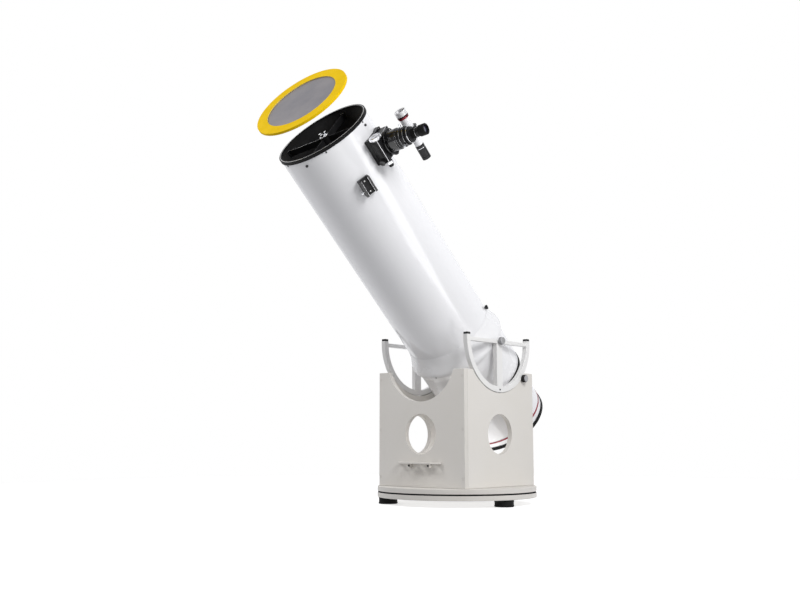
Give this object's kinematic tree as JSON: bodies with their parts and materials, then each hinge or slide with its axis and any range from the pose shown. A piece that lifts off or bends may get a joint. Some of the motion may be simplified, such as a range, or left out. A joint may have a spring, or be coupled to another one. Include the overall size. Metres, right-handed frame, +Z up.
{
  "type": "dobsonian telescope",
  "caption": "Solid-tube reflector telescope on D-shaped altitude wheels in a turning rocker box, with focuser, finder and a lifted solar filter.",
  "frame": {"origin": "centre of the overall bounding box, on the floor under the feet", "axes": "+Z up; the tube points towards -Y and up; +X is the focuser side, along the altitude axis"},
  "size_m": [0.725, 1.4718, 1.6399],
  "materials": {
    "laminate": "matte warm-white laminate",
    "tray": "matte warm white",
    "rubber": "matte black rubber",
    "ptfe": "smooth white glide plastic",
    "steel": "zinc-plated steel",
    "black_plastic": "satin black",
    "grey_plastic": "matte grey",
    "enamel": "glossy white enamel",
    "cradle": "smooth white",
    "wheel": "white powder coat",
    "red": "glossy red stripe",
    "black_anodised": "black anodised",
    "mirror_glass": "aluminised glass",
    "bright_steel": "bright steel",
    "silver": "silver anodised",
    "finder_white": "glossy white",
    "yellow_card": "matte yellow card",
    "film": "silvery filter film"
  },
  "bodies": {
    "ground": {"ground_board": "laminate", "foot_1": "rubber", "foot_2": "rubber", "foot_3": "rubber", "azimuth_bearing": "ptfe", "pivot_bolt": "steel"},
    "rocker": {"turntable_board": "laminate", "front_board": "laminate", "side_board_right": "laminate", "side_board_left": "laminate", "eyepiece_tray": "tray", "glide_pad_right_front": "ptfe", "glide_pad_right_rear": "ptfe", "glide_pad_left_front": "ptfe", "glide_pad_left_rear": "ptfe"},
    "friction_knob": {"friction_knob": "black_plastic"},
    "tube": {"tube_shell_rear": "enamel", "tube_shell_middle": "enamel", "tube_shell_front": "enamel", "front_ring": "black_plastic", "rear_ring": "black_plastic", "rear_stripe": "red", "cradle_sleeve": "cradle", "cradle_band": "black_plastic", "altitude_wheel_right": "wheel", "altitude_wheel_left": "wheel", "wheel_cap_right_front": "black_plastic", "wheel_cap_right_rear": "black_plastic", "wheel_cap_left_front": "black_plastic", "wheel_cap_left_rear": "black_plastic", "mirror_cell": "black_anodised", "primary_mirror": "mirror_glass", "spider": "black_plastic", "diagonal_holder": "black_plastic", "diagonal_mirror": "mirror_glass", "diagonal_screws": "bright_steel", "focuser_base": "black_anodised", "focuser_body": "black_anodised", "finder_shoe": "black_anodised", "spare_shoe": "black_anodised"},
    "wheel_knob_right": {"wheel_knob_right": "grey_plastic"},
    "wheel_knob_left": {"wheel_knob_left": "grey_plastic"},
    "cradle_clamp_knob": {"cradle_clamp_knob": "black_plastic"},
    "collimation_bolt_1": {"collimation_bolt_1": "black_plastic"},
    "collimation_bolt_2": {"collimation_bolt_2": "black_plastic"},
    "collimation_bolt_3": {"collimation_bolt_3": "black_plastic"},
    "focus_knob": {"focus_knob": "silver"},
    "fine_focus_knob": {"fine_focus_knob": "black_plastic"},
    "focus_lock_knob": {"focus_lock_knob": "black_plastic"},
    "drawtube": {"drawtube": "black_anodised", "eyepiece_adapter": "black_anodised"},
    "adapter_thumbscrew_1": {"adapter_thumbscrew_1": "bright_steel"},
    "adapter_thumbscrew_2": {"adapter_thumbscrew_2": "bright_steel"},
    "eyepiece": {"eyepiece": "black_anodised"},
    "finder": {"finder_bracket": "black_anodised", "finder_tube": "finder_white", "finder_objective": "silver", "finder_eyepiece": "black_anodised"},
    "solar_filter": {"solar_filter_ring": "yellow_card", "solar_film": "film"}
  },
  "joints": [
    {"name": "azimuth_turn", "type": "hinge", "parent": "ground", "child": "rocker", "pos_m": [-0.0351, 0.27175, 0.049], "axis": [0, 0, 1], "continuous": true},
    {"name": "altitude_tilt", "type": "hinge", "parent": "rocker", "child": "tube", "pos_m": [-0.0351, 0.27175, 0.66], "axis": [-1, 0, 0], "range_deg": [-42.5, 46.5]},
    {"name": "friction_knob_turn", "type": "hinge", "parent": "rocker", "child": "friction_knob", "pos_m": [-0.0351, 0.43175, 0.51], "axis": [1, 0, 0], "continuous": true},
    {"name": "wheel_knob_right_turn", "type": "hinge", "parent": "tube", "child": "wheel_knob_right", "pos_m": [-0.0351, 0.27175, 0.6555], "axis": [1, 0, 0], "continuous": true},
    {"name": "wheel_knob_left_turn", "type": "hinge", "parent": "tube", "child": "wheel_knob_left", "pos_m": [-0.0351, 0.27175, 0.6555], "axis": [-1, 0, 0], "continuous": true},
    {"name": "cradle_clamp_turn", "type": "hinge", "parent": "tube", "child": "cradle_clamp_knob", "pos_m": [0.11769, 0.2752, 0.79764], "axis": [0.829, 0.3812, 0.4092], "continuous": true},
    {"name": "collimation_1_turn", "type": "hinge", "parent": "tube", "child": "collimation_bolt_1", "pos_m": [0.0969, 0.27175, 0.66], "axis": [0, -0.7317, 0.6816], "continuous": true},
    {"name": "collimation_2_turn", "type": "hinge", "parent": "tube", "child": "collimation_bolt_2", "pos_m": [-0.1011, 0.34967, 0.74365], "axis": [0, -0.7317, 0.6816], "continuous": true},
    {"name": "collimation_3_turn", "type": "hinge", "parent": "tube", "child": "collimation_bolt_3", "pos_m": [-0.1011, 0.19384, 0.57635], "axis": [0, -0.7317, 0.6816], "continuous": true},
    {"name": "focus_knob_turn", "type": "hinge", "parent": "tube", "child": "focus_knob", "pos_m": [0.19623, -0.42906, 1.2985], "axis": [0, -0.7317, 0.6816], "range_deg": [-305.48, 229.08]},
    {"name": "drawtube_slide", "type": "slide", "parent": "tube", "child": "drawtube", "axis": [0.9848, 0.1184, 0.1271], "range_m": [-0.04, 0.03]},
    {"name": "fine_focus_turn", "type": "hinge", "parent": "tube", "child": "fine_focus_knob", "pos_m": [0.19623, -0.42906, 1.2985], "axis": [0, -0.7317, 0.6816], "range_deg": [-3055.77, 2291.83]},
    {"name": "focus_lock_turn", "type": "hinge", "parent": "tube", "child": "focus_lock_knob", "pos_m": [0.18382, -0.38106, 1.35002], "axis": [0, -0.7317, 0.6816], "continuous": true},
    {"name": "adapter_thumbscrew_1_turn", "type": "hinge", "parent": "drawtube", "child": "adapter_thumbscrew_1", "pos_m": [0.27019, -0.38521, 1.34556], "axis": [0, -0.7317, 0.6816], "continuous": true},
    {"name": "adapter_thumbscrew_2_turn", "type": "hinge", "parent": "drawtube", "child": "adapter_thumbscrew_2", "pos_m": [0.27019, -0.38521, 1.34556], "axis": [0.1574, -0.2991, -0.9411], "continuous": true},
    {"name": "eyepiece_lift_out", "type": "slide", "parent": "drawtube", "child": "eyepiece", "axis": [0.9848, 0.1184, 0.1271], "range_m": [0, 0.12]},
    {"name": "finder_slide_off", "type": "slide", "parent": "tube", "child": "finder", "axis": [0, -0.7317, 0.6816], "range_m": [-0.1, 0.06]},
    {"name": "solar_filter_seat", "type": "hinge", "parent": "tube", "child": "solar_filter", "pos_m": [0.66817, -1.14621, 0.8203], "axis": [-0.7702, -0.4347, -0.4667], "range_deg": [-2, 6.89]}
  ],
  "couplings": [
    {"joint": "drawtube_slide", "follows": "focus_knob_turn", "m_per_rad": 0.0075},
    {"joint": "fine_focus_turn", "follows": "focus_knob_turn", "ratio": 10}
  ]
}
